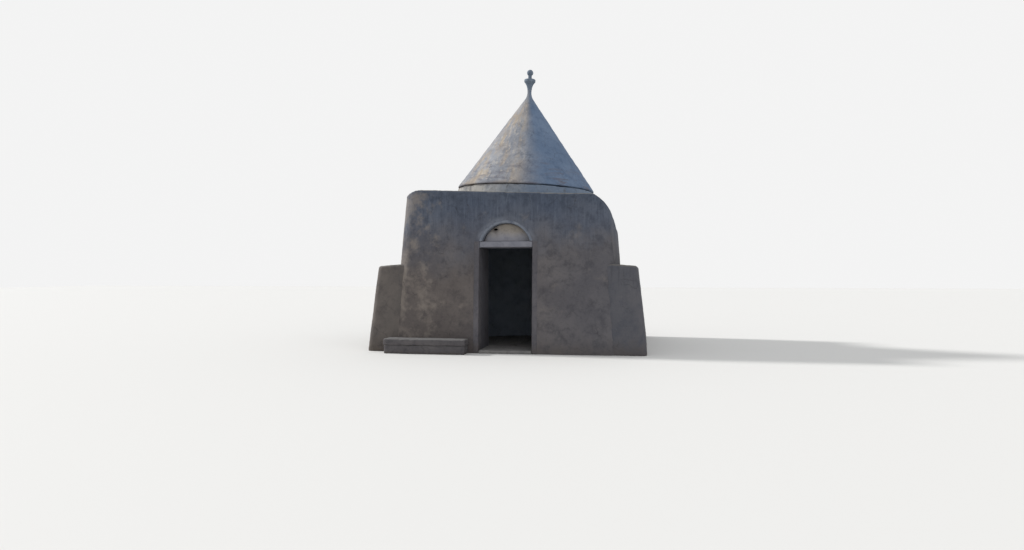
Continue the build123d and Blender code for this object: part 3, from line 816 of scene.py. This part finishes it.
def lay_coat(name, quarter, columns, spacing, foot, top_rows, keep=None):
    """Render over one side of the walls: a grid found on the solids, then raised by its relief."""
    rows = ceil((TURN_HEIGHT - foot) / spacing)
    heights = [foot + (TURN_HEIGHT - foot) * row / rows for row in range(rows + 1)]
    paths = [column_path(quarter, kind, value, heights, top_rows) for kind, value in columns]
    points = [list(row) for row in zip(*paths)]
    raised = []
    for row in range(len(points)):
        line = []
        for column in range(len(points[0])):
            place = points[row][column]
            up = points[min(row + 1, len(points) - 1)][column] - points[max(row - 1, 0)][column]
            along = points[row][min(column + 1, len(columns) - 1)] - points[row][max(column - 1, 0)]
            normal = along.cross(up).normalized()
            coat = COAT + render_relief(place) * (1 - 0.8 * beside_ledge(place))
            at_door = smooth_step(1 - beside_surround(place) / DOOR_FADE)
            coat = coat + (COAT_AT_DOOR - coat) * at_door
            laid = place + normal * max(COAT_LEAST, coat)
            if beside_surround(place) > 0:
                laid = kept_outside(laid, EDGE_LEAST if row > rows else COAT_LEAST)
            line.append(laid)
        raised.append(line)
    faces_kept_outside(raised, rows, EDGE_LEAST)
    return finish_piece(link(name, grid_mesh(name, raised, keep=keep)), "wall_plaster")


def beside_ledge(place):
    """1 where a ledge meets the walls, so that the seam stays even, and 0 away from it."""
    sideways = smooth_step((abs(place.x - WALL_SHIFT) - SEAM_START) / 0.15)
    return sideways * smooth_step((SEAM_TOP - place.z) / 0.25)


def beside_surround(place):
    """How far a place on the front face is outside the door's strips and the arch's rim; negative on them."""
    if place.y > 0:
        return 9.0
    side, above = abs(place.x) - STRIP_OUTER, place.z - LINTEL_TOP
    strips = hypot(max(side, 0), max(above, 0)) if max(side, above) > 0 else max(side, above)
    return min(strips, hypot(place.x, place.z - ARCH_CENTRE) - ARCH_OUTER)


def outside_door(place):
    return beside_surround(place) > -UNDER_TRIM


def columns_with_corners(quarter, spacing):
    """Columns over one side's face and round the corners at both its ends."""
    return (corner_columns(-pi, -pi / 2, spacing)[:-1] + face_columns(quarter, spacing)
            + corner_columns(-pi / 2, 0, spacing)[1:])


lay_coat("wall_render_front", 0, columns_with_corners(0, FRONT_GRID), FRONT_GRID, 0.0, FRONT_TOP_ROWS,
         outside_door)
lay_coat("wall_render_right", 1, face_columns(1, SIDE_GRID), SIDE_GRID, BEHIND_LEDGES, OTHER_TOP_ROWS)
lay_coat("wall_render_back", 2, columns_with_corners(2, BACK_GRID), BACK_GRID, 0.0, OTHER_TOP_ROWS)
lay_coat("wall_render_left", 3, face_columns(3, SIDE_GRID), SIDE_GRID, BEHIND_LEDGES, OTHER_TOP_ROWS)


def tuck_under_coat(piece, reach=0.07, depth=0.035):
    """Draws a ledge's near side in under the wall's render, so that no worn edge shows there."""
    for vert in piece.data.vertices:
        distance = wall_tree.find_nearest(vert.co)[3]
        vert.co.x -= copysign(depth * smooth_step(1 - distance / reach), vert.co.x)


for side in ("left", "right"):
    ledge = worn_copy(f"ledge_render_{side}", f"{side}_ledge", 0.020, relief=0.006, wave=0.3, ground=True)
    tuck_under_coat(ledge)
    finish_piece(ledge, "ledge_plaster", [f"{side}_ledge"])

# Roof


def cone_relief(place):
    """Lumpy lime coats on the cone, with faint courses of the stones under them."""
    local = roof_matrix.inverted() @ place
    relief = 0.0075 * waves(place, 0.55, 2) + 0.0040 * waves(place + Vector((5, 0, 0)), 0.16)
    relief += 0.0013 * waves(place, 0.05, 2)
    course = sin(2 * pi * local.z / COURSE_HEIGHT + 2.4 * waves(place, 0.6, 2))
    relief += 0.0022 * course * smooth_step(0.5 + waves(place, 0.45, 2))
    return relief - 0.0050 * patches(place, 0.33, 0.2, 0.06)


def band_relief(place):
    """A thick, uneven fillet of mortar."""
    relief = 0.010 * waves(place, 0.35, 2) + 0.0045 * waves(place, 0.11)
    return relief - 0.006 * patches(place, 0.2, 0.2, 0.06)


def cone_profile(spacing):
    """The cone's outline from under its overhanging foot to the neck, read from the solids."""
    tree = ray_tree(*CONE_NODES)
    outline = [(shell_foot, BAND_HEIGHT), (cone_foot - CONE_OVERHANG, BAND_HEIGHT)]
    height = BAND_HEIGHT + 0.002
    while True:
        origin = roof_matrix @ Vector((3, 0, height))
        place = hit(tree, origin, roof_matrix.to_3x3() @ Vector((-1, 0, 0)), 3)
        if place is None:
            return outline + [(outline[-1][0], height), (0.9 * outline[-1][0], height + NECK_IN_CUP)]
        outline.append(((roof_matrix.inverted() @ place).x, height))
        height += spacing * 0.8


def turned(name, outline, columns, relief, rounds=2):
    """A skin turned about the roof's axis, raised by its relief."""
    rows = np.array(outline)
    for _ in range(rounds):
        rows[1:-1] = (rows[:-2] + 2 * rows[1:-1] + rows[2:]) / 4
    points = []
    for row, (radius, height) in enumerate(rows):
        before, after = rows[max(row - 1, 0)], rows[min(row + 1, len(rows) - 1)]
        run = Vector((after[1] - before[1], before[0] - after[0])).normalized()
        line = []
        for column in range(columns):
            angle = 2 * pi * column / columns
            place = roof_matrix @ Vector((radius * cos(angle), radius * sin(angle), height))
            out = roof_matrix.to_3x3() @ Vector((run.x * cos(angle), run.x * sin(angle), run.y))
            fade = min(1.0, radius / 0.3)
            line.append(place + out * relief(place) * fade)
        points.append(line)
    return link(name, grid_mesh(name, points, closed=True))


CONE_NODES = ["cone_lower", "cone_middle", "cone_upper", "cone_tip"]
cone_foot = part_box("cone_lower")[1].y
shell_foot = cone_foot - SHELL_THICKNESS
band_head = cone_foot - CONE_OVERHANG

cone = turned("cone_render", cone_profile(CONE_ROW), CONE_COLUMNS, cone_relief)
finish_piece(cone, "cone_plaster", CONE_NODES)

band_outline = [(band_foot + 0.012, -0.03)]
for step in range(BAND_ROWS + 1):
    share = step / BAND_ROWS
    band_outline.append((band_foot + (band_head - band_foot) * share, BAND_HEIGHT * share))
band_outline.append((shell_foot, BAND_HEIGHT + 0.001))
band = turned("band_render", band_outline, BAND_COLUMNS, band_relief, 1)
finish_piece(band, "band_plaster", ["eave_band"])

worn_piece("cup_stone", "pinnacle_stone", "pinnacle_cup", 0.0065,
           wear=0.7, rounds=4, relief=0.0022, wave=0.05)
worn_piece("ball_stone", "pinnacle_stone", "pinnacle_ball", 0.006,
           wear=0.6, rounds=3, relief=0.0022, wave=0.05)

# Door and bench

for side in ("left", "right"):
    worn_piece(f"jamb_render_{side}", "surround_plaster", f"door_jamb_{side}", 0.011,
               rounds=4, relief=0.0022, wave=0.16, chip=0.8, ground=True)
worn_piece("arch_render", "surround_plaster", "door_arch", 0.011,
           rounds=4, relief=0.0022, wave=0.12, chip=0.8)
worn_piece("lintel_render", "surround_plaster", "door_lintel", 0.014, rounds=3, relief=0.002, wave=0.14)
worn_piece("lunette_render", "lunette_plaster", "lunette_panel", 0.009, rounds=2, relief=0.0022, wave=0.14)
worn_piece("threshold_stone", "floor_stone", "door_threshold", 0.014,
           rounds=6, relief=0.003, wave=0.2, ground=True)
worn_piece("seat_stone", "bench_stone", "bench_seat", 0.014, rounds=9, relief=0.004, wave=0.2, chip=0.8)
worn_piece("bench_base_render", "bench_stone", "bench_base", 0.014,
           rounds=7, relief=0.005, wave=0.14, ground=True)

# Inside


def beside_doorway(place):
    """Whether a place on the round wall inside is clear of the doorway."""
    return place.y >= 0 or abs(place.x) >= DOOR_HALF - 0.002 or place.z >= DOOR_HEIGHT


def room_coat(spacing=0.028):
    """Uneven lime over the round wall inside, cut straight at the doorway."""
    door_turn = asin(DOOR_HALF / ROOM_RADIUS)
    long_way, short_way = 2 * pi - 2 * door_turn, 2 * door_turn
    long_steps, short_steps = (ceil(turn * ROOM_RADIUS / spacing) for turn in (long_way, short_way))
    angles = [-pi / 2 + door_turn + long_way * step / long_steps for step in range(long_steps)]
    angles += [-pi / 2 - door_turn + short_way * step / short_steps for step in range(short_steps)]
    below, above = ceil(DOOR_HEIGHT / spacing), ceil((SPRING_HEIGHT - DOOR_HEIGHT) / spacing)
    heights = [FLOOR_TOP + (DOOR_HEIGHT - FLOOR_TOP) * step / below for step in range(below)]
    heights += [DOOR_HEIGHT + (SPRING_HEIGHT - DOOR_HEIGHT) * step / above for step in range(above + 1)]
    points = []
    for height in heights:
        line = []
        for angle in angles:
            place = Vector((ROOM_RADIUS * cos(angle), ROOM_RADIUS * sin(angle), height))
            from_door = max(abs(place.x) - DOOR_HALF, height - DOOR_HEIGHT) if place.y < 0 else 1.0
            relief = 0.009 + 0.008 * waves(place, 0.5, 2) + 0.003 * waves(place, 0.12)
            inward = 0.001 + (max(0.002, relief) - 0.001) * smooth_step(abs(from_door) / 0.12)
            level = Vector((0, 0, height * inward / ROOM_RADIUS))
            line.append(place * ((ROOM_RADIUS - inward) / ROOM_RADIUS) + level)
        points.append(line)
    mesh = grid_mesh("room_render", points, closed=True, keep=beside_doorway)
    return finish_piece(link("room_render", mesh), "wall_plaster")


def cut_round(outline, radius, sides=90):
    """A convex outline cut to a round."""
    for step in range(sides):
        angle = 2 * pi * (step + 0.5) / sides
        out = Vector((cos(angle), sin(angle)))
        kept = []
        for here, there in zip(outline, outline[1:] + outline[:1]):
            if here @ out <= radius:
                kept.append(here)
            if (here @ out <= radius) != (there @ out <= radius):
                kept.append(here + (there - here) * ((radius - here @ out) / ((there - here) @ out)))
        outline = kept
    return outline


def flag_outlines(radius, joint=0.007):
    """Rows of flags of mixed lengths, a little out of square."""
    outlines = []
    row, low = 0, -radius
    while low < radius - 0.02:
        depth = 0.34 + 0.12 * abs(noise.noise(Vector((row * 3.7, 0.3, 0))))
        left = -radius - 0.2 * (row % 2)
        while left < radius:
            width = 0.38 + 0.42 * abs(noise.noise(Vector((left * 2.3, row * 5.1, 0.7))))
            corners = [(left, low), (left + width, low), (left + width, low + depth), (left, low + depth)]
            outline = []
            for x, y in corners:
                slant = [noise.noise(Vector((x * 3, y * 3, layer))) for layer in (1.5, 4.5)]
                outline.append(Vector((x, y)) + 0.016 * Vector(slant))
            middle = sum(outline, Vector((0, 0))) / 4
            outline = [p + (middle - p).normalized() * joint for p in outline]
            outline = cut_round(outline, radius - joint / 2)
            if len(outline) > 2:
                outlines.append(outline)
            left += width
        low += depth
        row += 1
    return outlines


def floor_flags():
    """Worn flags over a mortar bed, each with rounded edges and a slight dish."""
    radius = ROOM_RADIUS - 0.014
    made = bmesh.new()
    tone = made.verts.layers.float.new("tone")
    bed = [made.verts.new((radius * cos(2 * pi * k / 90), radius * sin(2 * pi * k / 90), FLOOR_TOP - 0.009))
           for k in range(90)]
    made.faces.new(bed)
    for vert in bed:
        vert[tone] = 1.0
    for outline in flag_outlines(radius):
        middle = sum(outline, Vector((0, 0))) / len(outline)
        own = 0.5 + 0.5 * noise.noise(middle.to_3d() * 9.1)
        dense = []
        for here, there in zip(outline, outline[1:] + outline[:1]):
            steps = max(1, ceil((there - here).length / 0.05))
            dense += [here + (there - here) * step / steps for step in range(steps)]
        rings = []
        for inset, drop in ((0.0, 0.012), (0.0015, 0.004), (0.006, 0.0008), (0.014, 0.0), (0.075, 0.0)):
            ring = []
            for place in dense:
                way = middle - place
                moved = place + way.normalized() * min(inset, 0.6 * way.length)
                level = FLOOR_TOP - drop
                if inset:
                    level -= 0.0022 + 0.0020 * waves(moved.to_3d(), 0.25, 2)
                vert = made.verts.new((moved.x, moved.y, level))
                vert[tone] = own
                ring.append(vert)
            rings.append(ring)
        for outer, inner in zip(rings, rings[1:]):
            for k in range(len(outer)):
                after = (k + 1) % len(outer)
                made.faces.new((outer[k], outer[after], inner[after], inner[k]))
        centre = made.verts.new((middle.x, middle.y, FLOOR_TOP - 0.004))
        centre[tone] = own
        for k in range(len(rings[-1])):
            made.faces.new((rings[-1][k], rings[-1][(k + 1) % len(rings[-1])], centre))
    bmesh.ops.recalc_face_normals(made, faces=made.faces)
    return finish_made(made, "floor_flags", "floor_stone", ["room_floor"])


def sort_by_place(made):
    """Orders the vertices and faces by place, because Blender's order changes from run to run."""
    for row, place in ((made.verts, lambda vert: vert.co[:]),
                       (made.faces, lambda face: face.calc_center_median()[:])):
        for index, part in enumerate(sorted(row, key=place)):
            part.index = index
        row.sort()


def separate_solids(made):
    """Lists of the vertices of each loose solid."""
    waiting, solids = set(made.verts), []
    while waiting:
        found, edge = set(), [waiting.pop()]
        while edge:
            vert = edge.pop()
            found.add(vert)
            for link_edge in vert.link_edges:
                other = link_edge.other_vert(vert)
                if other not in found:
                    found.add(other)
                    edge.append(other)
        waiting -= found
        solids.append(list(found))
    return solids


def dressed_stones(name, node, edge=0.012, dents=0.006):
    """The node's stones with worn edges and uneven faces, each in its own tone."""
    made = bmesh.new()
    made.from_mesh(frame["nodes"][node].data)
    bmesh.ops.remove_doubles(made, verts=made.verts, dist=1e-5)
    bmesh.ops.dissolve_limit(made, angle_limit=radians(8), verts=made.verts, edges=made.edges)
    bmesh.ops.bevel(made, geom=list(made.edges), offset=edge, segments=2, profile=0.6, affect="EDGES",
                    clamp_overlap=True)
    bmesh.ops.triangulate(made, faces=[face for face in made.faces if len(face.verts) > 4])
    long_edges = [e for e in made.edges if e.calc_length() > 0.11]
    bmesh.ops.subdivide_edges(made, edges=long_edges, cuts=3, use_grid_fill=True)
    sort_by_place(made)
    made.normal_update()
    tone = made.verts.layers.float.new("tone")
    for solid in separate_solids(made):
        centre = Vector([fsum(axis) / len(solid) for axis in zip(*(vert.co for vert in solid))])
        own = 0.5 + 0.5 * noise.noise(centre * 5.3)
        for vert in solid:
            vert.co = vert.co - vert.normal * dents * (0.5 + 0.5 * waves(vert.co, 0.13, 3))
            vert[tone] = own
    return finish_made(made, name, "dome_stone", [node])


room_coat()
floor_flags()
for node in [name for name in frame["nodes"] if name.startswith("dome_")]:
    dressed_stones(node.replace("dome_", "dressed_"), node)

# Stage


def stage_floor():
    mesh = bpy.data.meshes.new("floor")
    reach = 60
    mesh.from_pydata([(-reach, -reach, 0), (reach, -reach, 0), (reach, reach, 0), (-reach, reach, 0)], [],
                     [(0, 1, 2, 3)])
    floor = link("floor", mesh)
    paint = Paint("floor", 0.9)
    mesh.materials.append(paint.done(colour(226, 224, 220)))


def lamp(name, energy, size, azimuth, elevation):
    """A sun, its size in degrees, from a bearing about the object: 0 is in front and 90 at its right."""
    light = bpy.data.lights.new(name, "SUN")
    light.energy = energy
    light.angle = radians(size)
    holder = link(name, light)
    way = Vector((sin(radians(azimuth)) * cos(radians(elevation)),
                  -cos(radians(azimuth)) * cos(radians(elevation)), sin(radians(elevation))))
    holder.rotation_euler = way.to_track_quat("Z", "Y").to_euler()


def camera():
    """The photograph's camera: eye height, a little right of the door."""
    lens = bpy.data.cameras.new("camera")
    lens.sensor_width = SENSOR_WIDTH
    lens.lens = FOCAL_PIXELS / FRAME_PIXELS * SENSOR_WIDTH
    lens.clip_end = 300
    eye = link("camera", lens)
    eye.location = EYE
    look = Vector((-sin(EYE_YAW) * cos(EYE_PITCH), cos(EYE_YAW) * cos(EYE_PITCH), sin(EYE_PITCH)))
    eye.rotation_euler = look.to_track_quat("-Z", "Y").to_euler()
    bpy.context.scene.camera = eye


def world():
    """A pale sky behind the object and a soft, slightly cool light on it."""
    sky = bpy.data.worlds.new("world")
    bpy.context.scene.world = sky
    sky.use_nodes = True
    nodes, links = sky.node_tree.nodes, sky.node_tree.links
    nodes["Background"].inputs["Color"].default_value = (0.93, 0.96, 1.0, 1)
    nodes["Background"].inputs["Strength"].default_value = 0.66
    seen = nodes.new("ShaderNodeBackground")
    seen.inputs["Color"].default_value = (0.9, 0.9, 0.9, 1)
    path = nodes.new("ShaderNodeLightPath")
    shown = path.outputs["Is Camera Ray"]
    for kind in ("Is Glossy Ray", "Is Transmission Ray"):
        either = nodes.new("ShaderNodeMath")
        either.operation = "MAXIMUM"
        links.new(shown, either.inputs[0])
        links.new(path.outputs[kind], either.inputs[1])
        shown = either.outputs[0]
    blend = nodes.new("ShaderNodeMixShader")
    links.new(shown, blend.inputs[0])
    links.new(nodes["Background"].outputs[0], blend.inputs[1])
    links.new(seen.outputs[0], blend.inputs[2])
    links.new(blend.outputs[0], nodes["World Output"].inputs["Surface"])


stage_floor()
lamp("key", energy=3.0, size=6, azimuth=-97, elevation=28)
lamp("fill", energy=0.50, size=60, azimuth=30, elevation=30)
camera()
world()
bpy.context.scene.view_settings.view_transform = "Standard"
